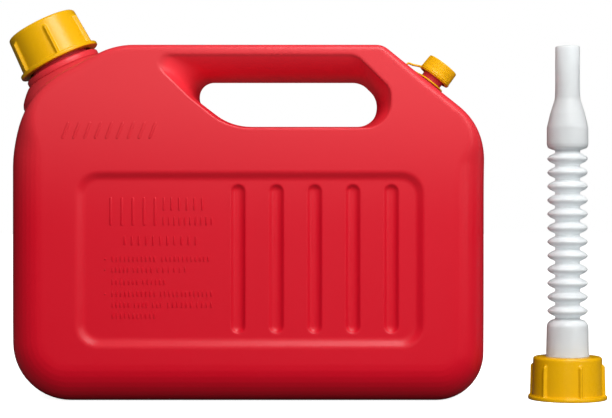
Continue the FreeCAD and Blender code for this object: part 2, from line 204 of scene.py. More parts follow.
class Bench:
    """Hand tools of the modelling bench."""

    @staticmethod
    def clear() -> None:
        """Leaves edit mode and lets go of everything."""
        if bpy.context.object is not None and bpy.context.object.mode != "OBJECT":
            bpy.ops.object.mode_set(mode="OBJECT")
        bpy.ops.object.select_all(action="DESELECT")

    @staticmethod
    def pick(*pieces: bpy.types.Object) -> None:
        """Selects pieces.

        Args:
            pieces: what to select, the active one first.
        """
        Bench.clear()
        for piece in pieces:
            piece.select_set(True)
        bpy.context.view_layer.objects.active = pieces[0]

    @staticmethod
    def edit(piece: bpy.types.Object) -> None:
        """Opens a piece in edit mode with its whole mesh selected.

        Args:
            piece: the piece to work on.
        """
        Bench.pick(piece)
        bpy.ops.object.mode_set(mode="EDIT")
        bpy.ops.mesh.select_all(action="SELECT")

    @staticmethod
    def loop(name: str, points: Sequence[Point3]) -> bpy.types.Object:
        """Closed run of edges through points.

        Args:
            name: the new piece's name.
            points: places in millimetres.

        Returns:
            The new piece.
        """
        Bench.clear()
        bpy.ops.mesh.primitive_circle_add(vertices=len(points), radius=0.01, fill_type="NOTHING")
        piece = bpy.context.object
        piece.name = name
        for vertex, point in zip(piece.data.vertices, points):
            vertex.co = Vector(point) * MM
        return piece

    @staticmethod
    def lathe(name: str, profile: Sequence[Point2], steps: int = 96) -> bpy.types.Object:
        """Closed solid of revolution about the local Z axis.

        Args:
            name: the new piece's name.
            profile: closed (radius, height) outline in millimetres.
            steps: facets round the axis.

        Returns:
            The new piece.
        """
        piece = Bench.loop(name, [(r, 0.0, z) for r, z in profile])
        Bench.edit(piece)
        bpy.ops.mesh.spin(steps=steps, angle=2.0 * math.pi, center=(0, 0, 0), axis=(0, 0, 1))
        bpy.ops.mesh.select_all(action="SELECT")
        bpy.ops.mesh.remove_doubles(threshold=2e-6)
        bpy.ops.mesh.normals_make_consistent(inside=False)
        bpy.ops.object.mode_set(mode="OBJECT")
        return piece

    @staticmethod
    def wrap(name: str, rows: Sequence[Row], ring: bool = False) -> bpy.types.Object:
        """Closed skin stretched over rows of points, each row running once round.

        Args:
            name: the new piece's name.
            rows: closed rows with the same count of points, in millimetres.
            ring: whether the last row joins the first, in place of two filled ends.

        Returns:
            The new piece.
        """
        used = list(rows) + ([rows[0]] if ring else [])
        across = len(used[0])
        Bench.clear()
        bpy.ops.mesh.primitive_grid_add(x_subdivisions=across, y_subdivisions=len(used) - 1, size=1.0)
        piece = bpy.context.object
        piece.name = name
        width = across + 1
        for index, vertex in enumerate(piece.data.vertices):
            vertex.co = Vector(used[index // width][(index % width) % across]) * MM
        Bench.edit(piece)
        bpy.ops.mesh.remove_doubles(threshold=2e-6)
        if not ring:
            bpy.ops.mesh.select_all(action="DESELECT")
            bpy.ops.mesh.select_non_manifold()
            bpy.ops.mesh.fill_holes(sides=0)
        bpy.ops.mesh.select_all(action="SELECT")
        bpy.ops.mesh.normals_make_consistent(inside=False)
        bpy.ops.object.mode_set(mode="OBJECT")
        return piece

    @staticmethod
    def modify(piece: bpy.types.Object, kind: str, **settings: object) -> None:
        """Adds a modifier and applies it.

        Args:
            piece: the piece to finish.
            kind: the modifier's type.
            settings: what is set on the modifier before it is applied.
        """
        Bench.pick(piece)
        modifier = piece.modifiers.new(kind.title(), kind)
        for key, value in settings.items():
            setattr(modifier, key, value)
        bpy.ops.object.modifier_apply(modifier=modifier.name)

    @staticmethod
    def work(piece: bpy.types.Object, tool: bpy.types.Object, cut: Cut) -> None:
        """Cuts or adds one solid to another, and throws the tool away."""
        Bench.modify(piece, "BOOLEAN", object=tool, operation=cut.value, solver="EXACT")
        bpy.data.objects.remove(tool, do_unlink=True)

    @staticmethod
    def mould(piece: bpy.types.Object, cell: float, passes: int, budget: int) -> None:
        """Turns a solid into one soft-edged skin, as a moulding has.

        Args:
            piece: the solid.
            cell: size of the remesh cells in millimetres.
            passes: smoothing passes.
            budget: the most triangles to leave.
        """
        Bench.modify(piece, "REMESH", mode="VOXEL", voxel_size=cell * MM, adaptivity=0.0)
        Bench.modify(piece, "SMOOTH", factor=0.5, iterations=passes)
        triangles = sum(len(face.vertices) - 2 for face in piece.data.polygons)
        if triangles > budget:
            Bench.modify(piece, "DECIMATE", decimate_type="COLLAPSE", ratio=budget / triangles)

    @staticmethod
    def join(name: str, pieces: Sequence[bpy.types.Object]) -> bpy.types.Object:
        """Joins pieces into one mesh.

        Args:
            name: the joined piece's name.
            pieces: what to join.

        Returns:
            The first piece, which now holds them all.
        """
        Bench.pick(*pieces)
        bpy.ops.object.join()
        pieces[0].name = name
        return pieces[0]

    @staticmethod
    def smooth(piece: bpy.types.Object, degrees: float = 180.0) -> None:
        """Shades a piece smooth.

        Args:
            piece: the piece to shade.
            degrees: the angle past which an edge stays sharp.
        """
        Bench.pick(piece)
        if degrees >= 180.0:
            bpy.ops.object.shade_smooth()
        else:
            bpy.ops.object.shade_smooth_by_angle(angle=math.radians(degrees))


@dataclass(frozen=True)
class Seat:
    """Local frame of a piece: a point on the object and a tilt about Y."""

    at: Point3
    tilt: float = 0.0

    def settle(self, piece: bpy.types.Object) -> None:
        """Moves a piece built about local Z onto its seat, with the place kept in its mesh."""
        tilt = Matrix.Rotation(math.radians(self.tilt), 4, "Y")
        piece.data.transform(Matrix.Translation(Vector(self.at) * MM) @ tilt)

    def point(self, x: float, y: float, z: float) -> Vector:
        """Place on the object, in metres, of a local point in millimetres."""
        tilt = Matrix.Rotation(math.radians(self.tilt), 4, "Y")
        return (Vector(self.at) + tilt @ Vector((x, y, z))) * MM


NECK_SEAT = Seat((-153.5, 0.0, 268.1), -27.0)
VENT_SEAT = Seat((148.0, 0.0, 256.1), 37.5)
SPOUT_SEAT = Seat((251.3, -30.0, 0.0))
FILLER_BORE = 20.8
VENT_BORE = 6.3


# --------------------------------------------------------------------------- shader maths
class Sum:
    """One shader socket that can be worked on with the usual signs."""

    def __init__(self, book: "Book", socket: bpy.types.NodeSocket) -> None:
        """Keeps the socket and the book that draws its nodes."""
        self.book = book
        self.socket = socket

    def _with(self, operation: str, other: "Sum | float") -> "Sum":
        """Math node of this socket and another value.

        Args:
            operation: the node's operation.
            other: the other value.

        Returns:
            The node's result.
        """
        return self.book.node("ShaderNodeMath", {"operation": operation}, {0: self, 1: other})

    def __add__(self, other: "Sum | float") -> "Sum":
        """Sum of two values."""
        return self._with("ADD", other)

    def __radd__(self, other: float) -> "Sum":
        """Sum of two values."""
        return self._with("ADD", other)

    def __mul__(self, other: "Sum | float") -> "Sum":
        """Product of two values."""
        return self._with("MULTIPLY", other)


class Book:
    """Node tree that is written node by node."""

    def __init__(self, tree: bpy.types.NodeTree) -> None:
        """Keeps the tree to write in."""
        self.tree = tree

    def node(self, kind: str, settings: dict[str, object], sockets: dict[object, object],
             output: object = 0) -> Sum:
        """Adds a node.

        Args:
            kind: the node's type.
            settings: what is set on the node first.
            sockets: values or links of its inputs, by name or number.
            output: the name or number of the output to return.

        Returns:
            The output, ready for more sums.
        """
        node = self.tree.nodes.new(kind)
        for key, value in settings.items():
            setattr(node, key, value)
        for key, value in sockets.items():
            if isinstance(value, Sum):
                self.tree.links.new(value.socket, node.inputs[key])
            else:
                node.inputs[key].default_value = value
        return Sum(self, node.outputs[output])

    def link(self, value: Sum, socket: bpy.types.NodeSocket) -> None:
        """Leads a value to the input of a node that is in the tree already."""
        self.tree.links.new(value.socket, socket)

    def ray(self, kind: str) -> Sum:
        """Whether the light path is of a kind, such as "Is Camera Ray"."""
        return self.node("ShaderNodeLightPath", {}, {}, kind)

    def height(self, place: Sum) -> Sum:
        """Third part of a place."""
        return self.node("ShaderNodeSeparateXYZ", {}, {0: place}, "Z")

    def blend(self, share: "Sum | float", first: "Sum | Point3", second: "Sum | Point3") -> Sum:
        """Colour between two colours.

        Args:
            share: 0 for the first colour, 1 for the second.
            first: a colour, or a link that gives one.
            second: the other colour.

        Returns:
            The mixed colour.
        """
        pair = [colour if isinstance(colour, Sum) else (*colour, 1.0) for colour in (first, second)]
        return self.node("ShaderNodeMix", {"data_type": "RGBA"}, {0: share, 6: pair[0], 7: pair[1]}, 2)


class Recipe(Book):
    """Node tree of one material."""

    def __init__(self, name: str) -> None:
        """Opens a new material whose tree holds a shader and an output.

        Args:
            name: the material's name.
        """
        self.material = bpy.data.materials.new(name)
        self.material.use_nodes = True
        super().__init__(self.material.node_tree)
        self.shader = self.tree.nodes["Principled BSDF"]
        self.place = self.node("ShaderNodeTexCoord", {}, {}, "Object")

    def noise(self, scale: float, detail: float = 2.0, rough: float = 0.5) -> Sum:
        """Cloudy value from 0 to 1 at a scale, in repeats per metre."""
        sockets = {"Vector": self.place, "Scale": scale, "Detail": detail, "Roughness": rough}
        return self.node("ShaderNodeTexNoise", {}, sockets, "Fac")

    def wear(self, socket: str, value: "Sum | float | tuple") -> None:
        """Gives the shader one of its values.

        Args:
            socket: the name of the shader's input.
            value: a number, a colour or a link.
        """
        if isinstance(value, Sum):
            self.tree.links.new(value.socket, self.shader.inputs[socket])
        else:
            self.shader.inputs[socket].default_value = value

    def bump(self, height: Sum, distance: float, strength: float = 1.0) -> None:
        """Raises the surface by a height, over a distance in metres."""
        sockets = {"Height": height, "Distance": distance, "Strength": strength}
        self.wear("Normal", self.node("ShaderNodeBump", {}, sockets, "Normal"))


@dataclass(frozen=True)
class MouldedPlastic:
    """Satin moulded plastic with a fine skin grain and slow changes of tone.

    Colours are linear, scales are in repeats per metre and distances are in metres. Any emission is painted
    light, a glow that stands in for light through the wall or in shaded hollows: full where its mask
    attribute is 1, and a set share of that where it is 0. Between two heights the colour turns lighter
    and pinker, a painted sheen of the lamps above.
    """

    name: str
    light: Point3
    deep: Point3
    roughness: float
    grain: float = 0.00003
    grain_scale: float = 1500.0
    tone_scale: float = 14.0
    gloss: float = 0.5
    scatter: float = 0.0
    scatter_reach: float = 0.004
    painted_glow: float = 0.0
    painted_glow_mask: str = FOLD_DEPTH
    unmasked_glow_share: float = 0.12
    painted_sheen: Point3 = (0.0, 0.0, 0.0)
    painted_sheen_from: float = 0.0
    painted_sheen_full: float = 0.0

    def colour(self, book: Recipe) -> Sum:
        """Colour of the plastic over a piece.

        Args:
            book: the material's tree.

        Returns:
            The clouded colour, turned lighter with height as a painted sheen where the finish has any.
        """
        base = book.blend(book.noise(self.tone_scale, 3.0), self.deep, self.light)
        if self.painted_sheen_full <= 0.0:
            return base
        # painted sheen: the colour turns lighter and pinker from one height up to the next
        share = book.node("ShaderNodeMapRange", {"interpolation_type": "SMOOTHSTEP"}, {
            "Value": book.height(book.place), "From Min": self.painted_sheen_from, "From Max": self.painted_sheen_full})
        return book.blend(share, base, self.painted_sheen)

    def mix(self) -> bpy.types.Material:
        """Mixes the finish.

        Returns:
            The material.
        """
        book = Recipe(self.name)
        skin = book.noise(self.grain_scale, 3.0, 0.6)
        flow = book.noise(self.tone_scale * 6.0, 2.0)
        book.wear("Base Color", self.colour(book))
        book.wear("Roughness", self.roughness - 0.05 + flow * 0.08 + skin * 0.04)
        book.wear("Specular IOR Level", self.gloss)
        if self.scatter > 0.0:
            book.wear("Subsurface Weight", self.scatter)
            book.wear("Subsurface Radius", (1.0, 1.0, 1.0))
            book.wear("Subsurface Scale", self.scatter_reach)
        # painted light: an emission glow, strongest where the mask attribute is 1
        if self.painted_glow > 0.0:
            glow_mask_value = book.node("ShaderNodeAttribute", {"attribute_name": self.painted_glow_mask}, {}, "Fac")
            share = glow_mask_value * (1.0 - self.unmasked_glow_share) + self.unmasked_glow_share
            book.wear("Emission Color", book.blend(share, (0.0, 0.0, 0.0), self.light))
            book.wear("Emission Strength", self.painted_glow)
        book.bump(skin * 0.7 + flow * 0.3, self.grain)
        return book.material


# can_red: its lighter, pinker top is a painted sheen of the lamps above, and its emission in the grip's
# scoop is painted light
CAN_RED = MouldedPlastic("can_red", (0.51, 0.0015, 0.013), (0.49, 0.001, 0.011), 0.39, grain=0.00004,
                         gloss=0.36, painted_glow=0.36, painted_glow_mask=SCOOP_GLOW_MASK, unmasked_glow_share=0.0,
                         painted_sheen=(0.575, 0.027, 0.036), painted_sheen_from=0.13, painted_sheen_full=0.27)
CAP_YELLOW = MouldedPlastic("cap_yellow", (0.66, 0.352, 0.001), (0.63, 0.325, 0.001), 0.27, grain=0.00002,
                            gloss=0.32)
# spout_milk: its subsurface scatter is the real milky plastic; its emission, strongest in the fold valleys,
# is painted light for light through the walls and in the valleys' shade
SPOUT_MILK = MouldedPlastic("spout_milk", (0.68, 0.72, 0.735), (0.65, 0.69, 0.705), 0.34, grain=0.00002,
                            gloss=0.35, scatter=1.0, scatter_reach=0.010, painted_glow=0.22)
SEAL_GREY = MouldedPlastic("seal_grey", (0.05, 0.05, 0.05), (0.03, 0.03, 0.03), 0.6)


@dataclass
class Dresser:
    """Hands out finishes and dresses pieces in them."""

    finishes: dict[str, bpy.types.Material] = field(default_factory=dict)

    def material(self, finish: MouldedPlastic) -> bpy.types.Material:
        """Material of a finish, made once.

        Args:
            finish: the finish that is wanted.

        Returns:
            The material.
        """
        if finish.name not in self.finishes:
            self.finishes[finish.name] = finish.mix()
        return self.finishes[finish.name]

    def dress(self, piece: bpy.types.Object, finish: MouldedPlastic, slot: str,
              degrees: float = 180.0) -> None:
        """Gives a piece its finish, its shading and its material slot.

        Args:
            piece: the piece to dress.
            finish: what it is moulded in.
            slot: the name of its material slot; not used.
            degrees: the angle past which an edge stays sharp.
        """
        piece.data.materials.clear()
        piece.data.materials.append(self.material(finish))
        Bench.smooth(piece, degrees)
        LOG.info("%s: %d faces", piece.name, len(piece.data.polygons))


# --------------------------------------------------------------------------- can
@dataclass
class CanSkin:
    """Blow-moulded skin of the can.

    Corners are (x, z, radius). The walls of the panel and of a flute are rows of (depth, inset or share
    of the width), from the surface down to the floor.
    """

    dresser: Dresser
    half_width: float = 184.0
    height: float = 276.0
    half_depth: float = 66.0
    left_slope: float = 27.0
    right_slope: float = 38.6
    left_crown: Point2 = (-102.0, 60.0)
    right_crown: Point2 = (104.0, 14.0)
    base_corners: Point2 = (45.0, 37.0)
    shoulder_corners: Point2 = (84.0, 56.0)
    base_edge: float = 30.0
    side_edge: float = 26.0
    shoulder_edge: float = 6.5
    top_edge: float = 4.5
    base_fade: Point2 = (60.0, 4.0)
    left_fade: Point2 = (196.0, 238.0)
    right_fade: Point2 = (176.0, 222.0)
    top_fade: Point2 = (255.0, 272.0)
    panel_x: Point2 = (-132.0, 136.0)
    panel_z: Point2 = (43.0, 178.7)
    panel_depth: float = 3.0
    panel_corner: float = 17.0
    panel_wall: tuple[Point2, ...] = ((-1.5, -1.6), (0.0, 0.0), (0.35, 1.4), (1.5, 3.4), (2.65, 5.4),
                                      (3.0, 6.9))
    flute_x: tuple[float, ...] = (-7.2, 22.2, 51.6, 81.0, 110.6)
    flute_z: Point2 = (54.0, 168.5)
    flute_width: float = 11.0
    flute_depth: float = 2.6
    flute_wall: tuple[Point2, ...] = ((-0.8, 1.06), (0.0, 1.0), (0.35, 0.86), (0.7, 0.66), (0.92, 0.4),
                                      (1.0, 0.14))
    grip_half_depth: float = 2.0
    scoop_curve: float = 3.2
    scoop_soft: float = 0.8
    hole: tuple[Corner, ...] = ((-42.0, 253.4, 12.0), (91.6, 253.4, 19.2), (103.0, 242.0, 19.2),
                                (103.0, 214.4, 19.2), (-13.0, 214.4, 46.0), (-42.0, 236.5, 8.0))
    rim: tuple[Corner, ...] = ((-80.0, 268.8, 7.0), (83.0, 268.8, 14.0), (110.5, 242.0, 14.0),
                               (110.5, 211.6, 20.0), (-15.0, 211.6, 50.0), (-45.0, 236.0, 9.0))
    boss_profile: tuple[Point2, ...] = (
        (0.0, -8.5), (32.4, -8.5), (33.6, -9.4), (36.4, -12.0), (39.4, -15.2), (41.6, -18.0), (42.9, -20.8),
        (43.3, -25.0), (42.6, -36.0), (41.0, -48.0), (0.0, -48.0))
    cell: float = 0.85
    budget: int = 190000

    def outline(self) -> list[Point2]:
        """Silhouette of the can from the front.

        Returns:
            Its points, evenly spaced.
        """
        left = math.tan(math.radians(self.left_slope))
        right = math.tan(math.radians(self.right_slope))
        wide = self.half_width
        corners = [
            (-wide, 0.0, self.base_corners[0]),
            (-wide, self.height - (wide + self.left_crown[0]) * left, self.shoulder_corners[0]),
            (self.left_crown[0], self.height, self.left_crown[1]),
            (self.right_crown[0], self.height, self.right_crown[1]),
            (wide, self.height - (wide - self.right_crown[0]) * right, self.shoulder_corners[1]),
            (wide, 0.0, self.base_corners[1]),
        ]
        return evened(rounded(corners, 14), 6.0)

    def edge_radius(self, x: float, z: float) -> float:
        """Rounding of the front and back edges.

        Args:
            x: how far right a place on the silhouette is.
            z: how high it is.

        Returns:
            The radius there.
        """
        low = ease(z, *self.base_fade)
        high = ease(z, *(self.left_fade if x < 0.0 else self.right_fade))
        top = ease(z, *self.top_fade)
        radius = self.side_edge + (self.base_edge - self.side_edge) * low
        radius += (self.shoulder_edge - radius) * high
        return radius + (self.top_edge - radius) * top

    def slab(self) -> bpy.types.Object:
        """Can without its features.

        Returns:
            The silhouette's solid with rounded edges.
        """
        points = self.outline()
        outs = normals(points)
        radii = [self.edge_radius(x, z) for x, z in points]
        for _ in range(6):
            after = radii[1:] + radii[:1]
            radii = [(radii[i - 1] + radii[i] + after[i]) / 3.0 for i in range(len(radii))]
        half: list[list[Point3]] = []
        for step in range(11):
            angle = math.pi / 2.0 * step / 10
            row = []
            for (x, z), out, radius in zip(points, outs, radii):
                inset = radius * (1.0 - math.sin(angle))
                row.append((x - out.x * inset, -self.half_depth + radius * (1.0 - math.cos(angle)),
                            z - out.y * inset))
            half.append(row)
        back = [[(x, -y, z) for x, y, z in row] for row in reversed(half)]
        return Bench.wrap("can_skin", half + back)

    def grown(self, corners: Sequence[Corner], y: float, steps: int = 8) -> Row:
        """Row of points round corners in a plane facing front."""
        return [(x, y, z) for x, z in rounded(corners, steps)]

    def scoop(self, side: float) -> bpy.types.Object:
        """Cutter that opens the grip from one face down to the bar.

        Args:
            side: -1 for the front face, 1 for the back.

        Returns:
            The cutter.
        """
        rows = []
        for step in range(-1, 17):
            lean = step / 16.0 * abs(step / 16.0) if step >= 0 else -0.06
            depth = self.half_depth - (self.half_depth - self.grip_half_depth) * lean
            curve = lean if lean < 0.0 else (1.0 - (1.0 - lean) ** self.scoop_curve) ** self.scoop_soft
            corners = [tuple(a + (b - a) * curve for a, b in zip(outer, inner))
                       for outer, inner in zip(self.rim, self.hole)]
            rows.append(self.grown(corners, side * depth))
        return Bench.wrap("scoop", rows)

    def panel(self, side: float) -> bpy.types.Object:
        """Cutter of the recessed panel, with soft sloping walls.

        Args:
            side: -1 for the front face, 1 for the back.

        Returns:
            The cutter.
        """
        rows = []
        for depth, step in self.panel_wall:
            left, right = self.panel_x[0] + step, self.panel_x[1] - step
            low, high = self.panel_z[0] + step, self.panel_z[1] - step
            radius = self.panel_corner - 0.7 * step
            corners = [(x, z, radius) for x, z in ((left, low), (left, high), (right, high), (right, low))]
            rows.append(self.grown(corners, side * (self.half_depth - depth * self.panel_depth / 3.0)))
        return Bench.wrap("panel", rows)

    def flute(self, x: float, side: float) -> bpy.types.Object:
        """Cutter of one upright flute with rounded ends.

        Args:
            x: the flute's middle.
            side: -1 for the front face, 1 for the back.

        Returns:
            The cutter.
        """
        rows = []
        floor = self.half_depth - self.panel_depth
        for depth, share in self.flute_wall:
            half = self.flute_width / 2.0 * share
            trim = (1.0 - share) * self.flute_width / 2.0
            low, high = self.flute_z[0] + trim, self.flute_z[1] - trim
            ends = ((x - half, low), (x - half, high), (x + half, high), (x + half, low))
            corners = [(across, up, half * 0.98) for across, up in ends]
            rows.append(self.grown(corners, side * (floor - depth * self.flute_depth), 6))
        return Bench.wrap("flute", rows)

    def boss(self) -> bpy.types.Object:
        """Boss under the filler neck, faired into the shoulder.

        Returns:
            The boss.
        """
        piece = Bench.lathe("boss", self.boss_profile, 96)
        NECK_SEAT.settle(piece)
        return piece

    def bore(self, seat: Seat, radius: float, low: float, high: float) -> bpy.types.Object:
        """Cutter of a round bore along a neck's axis.

        Args:
            seat: the neck's seat.
            radius: the bore's radius.
            low: its lower end along the axis.
            high: its upper end.

        Returns:
            The cutter.
        """
        piece = Bench.lathe("bore", [(0.0, low), (radius, low), (radius, high), (0.0, high)], 64)
        seat.settle(piece)
        return piece

    def paint_scoop_glow(self, skin: bpy.types.Object) -> None:
        """Marks where the grip's scoop gets its painted glow, which lightens its shaded underside,
        strongest near its mouth.

        Args:
            skin: the can's skin, which gets a value for each of its points.
        """
        share = skin.data.attributes.new(SCOOP_GLOW_MASK, "FLOAT", "POINT")
        across, up, _ = zip(*self.rim)
        left, right, low, high = min(across), max(across), min(up), max(up)
        for vertex, value in zip(skin.data.vertices, share.data):
            x, y, z = vertex.co / MM
            deep = self.half_depth - abs(y)
            inside = ease(x, left - 1.0, left + 14.0) * ease(x, right + 1.0, right - 4.0)
            inside *= ease(z, low - 1.0, low + 12.0) * ease(z, high + 1.5, high - 2.0)
            value.value = inside * ease(deep, 0.2, 3.0) * (1.0 - 0.45 * ease(deep, 8.0, 60.0))

    def build(self) -> bpy.types.Object:
        """Finished skin on its body.

        Returns:
            The skin.
        """
        skin = self.slab()
        Bench.work(skin, self.boss(), Cut.ADD)
        hole = Bench.wrap("hole", [self.grown(self.hole, -90.0), self.grown(self.hole, 90.0)])
        Bench.work(skin, hole, Cut.TAKE)
        for side in (-1.0, 1.0):
            Bench.work(skin, self.scoop(side), Cut.TAKE)
            Bench.work(skin, self.panel(side), Cut.TAKE)
            for x in self.flute_x:
                Bench.work(skin, self.flute(x, side), Cut.TAKE)
        Bench.work(skin, self.bore(NECK_SEAT, FILLER_BORE, -70.0, 5.0), Cut.TAKE)
        Bench.work(skin, self.bore(VENT_SEAT, VENT_BORE, -40.0, 5.0), Cut.TAKE)
        Bench.mould(skin, self.cell, 3, self.budget)
        # painted light: the scoop's shaded underside glows
        self.paint_scoop_glow(skin)
        self.dresser.dress(skin, CAN_RED, "can_plastic")
        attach(skin, "can")
        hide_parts("can_body")
        return skin


@dataclass(frozen=True)
class Strokes:
    """Row of equal upright strokes, in place of a word."""

    x: Point2
    z: Point2
    count: int
    wide: float
    slant: float = 0.0


@dataclass
class RaisedMarks:
    """Plain raised strokes moulded on the front face, where a maker sets its words."""

    dresser: Dresser
    floor_y: float = -63.0
    face_y: float = -66.0
    proud: float = 0.6
    face_marks: tuple[Strokes, ...] = (Strokes((-143.0, -74.0), (203.5, 216.5), 9, 2.2, 5.0),)
    large_marks: tuple[Strokes, ...] = (
        Strokes((-106.0, -70.0), (137.0, 158.6), 5, 1.9), Strokes((-65.0, -34.0), (148.5, 158.4), 6, 1.5),
        Strokes((-65.0, -27.0), (137.2, 143.6), 10, 1.1), Strokes((-95.0, -39.0), (121.8, 129.0), 11, 1.4))
    small_rows: tuple[tuple[float, tuple[tuple[float, float, int], ...]], ...] = (
        (111.3, ((-104.2, -71.0, 11), (-66.0, -29.7, 12))),
        (102.8, ((-104.2, -91.5, 5), (-88.0, -73.5, 5), (-69.5, -47.3, 6))),
        (93.5, ((-104.2, -84.5, 7), (-80.5, -63.5, 6))),
        (84.4, ((-104.2, -71.0, 11), (-67.0, -27.4, 13))),
        (75.9, ((-104.2, -91.0, 5), (-87.0, -77.0, 4), (-73.0, -66.0, 3), (-61.5, -43.0, 6),
                (-39.0, -27.4, 4))),
        (67.4, ((-104.2, -71.1, 11),)))
    small_height: float = 3.8
    small_width: float = 0.95
    dot_x: Point2 = (-110.2, -108.8)
    dotted: tuple[float, ...] = (111.3, 102.8, 84.4)
    crown: tuple[Point2, ...] = ((0.5, 0.0), (0.88, 0.12), (1.0, 0.28))

    def bar(self, x: Point2, z: Point2, y: float, slant: float = 0.0) -> bpy.types.Object:
        """One raised bar with rounded ends.

        Args:
            x: its left and right sides.
            z: its foot and top.
            y: the surface it stands on.
            slant: how far its top is shifted to the right.

        Returns:
            The bar.
        """
        narrow = min(x[1] - x[0], z[1] - z[0])
        rows = []
        for lift, share in [(-0.6, 0.0)] + [(self.proud * rise, share) for rise, share in self.crown]:
            shrink = narrow * share
            radius = (narrow / 2.0 - shrink) * 0.85
            left, right = x[0] + shrink, x[1] - shrink
            low, high = z[0] + shrink, z[1] - shrink
            corners = [(left, low, radius), (left + slant, high, radius), (right + slant, high, radius),
                       (right, low, radius)]
            rows.append([(a, y - lift, b) for a, b in rounded(corners, 4)])
        return Bench.wrap("bar", rows)

    def strokes(self, marks: Strokes, y: float) -> bpy.types.Object:
        """Row of strokes on a surface.

        Args:
            marks: where the strokes stand and how many they are.
            y: the surface they stand on.

        Returns:
            The strokes as one piece.
        """
        left, right = marks.x
        piece = self.bar((left, left + marks.wide), marks.z, y, marks.slant)
        pitch = (right - left - marks.wide) / (marks.count - 1)
        Bench.modify(piece, "ARRAY", count=marks.count, use_relative_offset=False, use_constant_offset=True,
                     constant_offset_displace=(pitch * MM, 0.0, 0.0))
        return piece

    def build(self) -> bpy.types.Object:
        """Marks on the can's body.

        Returns:
            All of them as one piece.
        """
        bars = [self.strokes(marks, self.face_y) for marks in self.face_marks]
        bars += [self.strokes(marks, self.floor_y) for marks in self.large_marks]
        half = self.small_height / 2.0
        for z, words in self.small_rows:
            for left, right, count in words:
                word = Strokes((left, right), (z - half, z + half), count, self.small_width)
                bars.append(self.strokes(word, self.floor_y))
        bars += [self.bar(self.dot_x, (z - 0.7, z + 0.7), self.floor_y) for z in self.dotted]
        marks = Bench.join("raised_marks", bars)
        self.dresser.dress(marks, CAN_RED, "can_plastic", 40.0)
        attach(marks, "can")
        return marks


# --------------------------------------------------------------------------- necks and caps
@dataclass(frozen=True)
class Thread:
    """Helical ridge that starts at a height and climbs by its pitch with every turn."""

    pitch: float
    turns: float
    low: float
    height: float
    width: float

    def rise(self, angle: float, z: float) -> float:
        """Height of the ridge over its root.

        Args:
            angle: the place round the axis, in radians.
            z: the place along the axis.

        Returns:
            The height there, 0 beside the ridge.
        """
        best = 0.0
        for turn in range(-1, int(self.turns) + 2):
            along = angle / (2.0 * math.pi) + turn
            if not 0.0 <= along <= self.turns:
                continue
            off = abs(z - (self.low + along * self.pitch))
            fade = min(along, self.turns - along) * 14.0
            best = max(best, self.height * (1.0 - ease(off, self.width * 0.25, self.width * 0.55))
                       * min(1.0, fade))
        return best


@dataclass
class Neck:
    """Threaded neck of the can."""

    COUNT = 144

    dresser: Dresser
    name: str
    node: str
    seat: Seat
    thread: Thread
    root: float
    bore: float
    top: float
    foot: tuple[Corner, ...]

    def build(self) -> bpy.types.Object:
        """Finished neck on the can.

        Returns:
            The neck.
        """
        course = rounded([*self.foot, (self.root, self.top, 1.0), (self.bore, self.top, 1.0),
                          (self.bore, self.foot[0][1], 0.0)], 4, closed=False)

        def parts(start: Point2, end: Point2) -> int:
            """Fine parts where the thread is, one elsewhere."""
            fine = abs(start[0] - self.root) < 0.3
            return math.ceil(math.hypot(end[0] - start[0], end[1] - start[1]) / 0.7) if fine else 1

        rows: list[Row] = []
        for radius, z in denser(course, parts):
            on_root = abs(radius - self.root) < 0.05
            rows.append(turned(self.COUNT, z, lambda turn: radius + (self.thread.rise(turn, z) if on_root
                                                                     else 0.0)))
        piece = Bench.wrap(self.name, rows, ring=True)
        self.seat.settle(piece)
        self.dresser.dress(piece, CAN_RED, "can_plastic", 50.0)
        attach(piece, "can")
        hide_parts(self.node)
        return piece


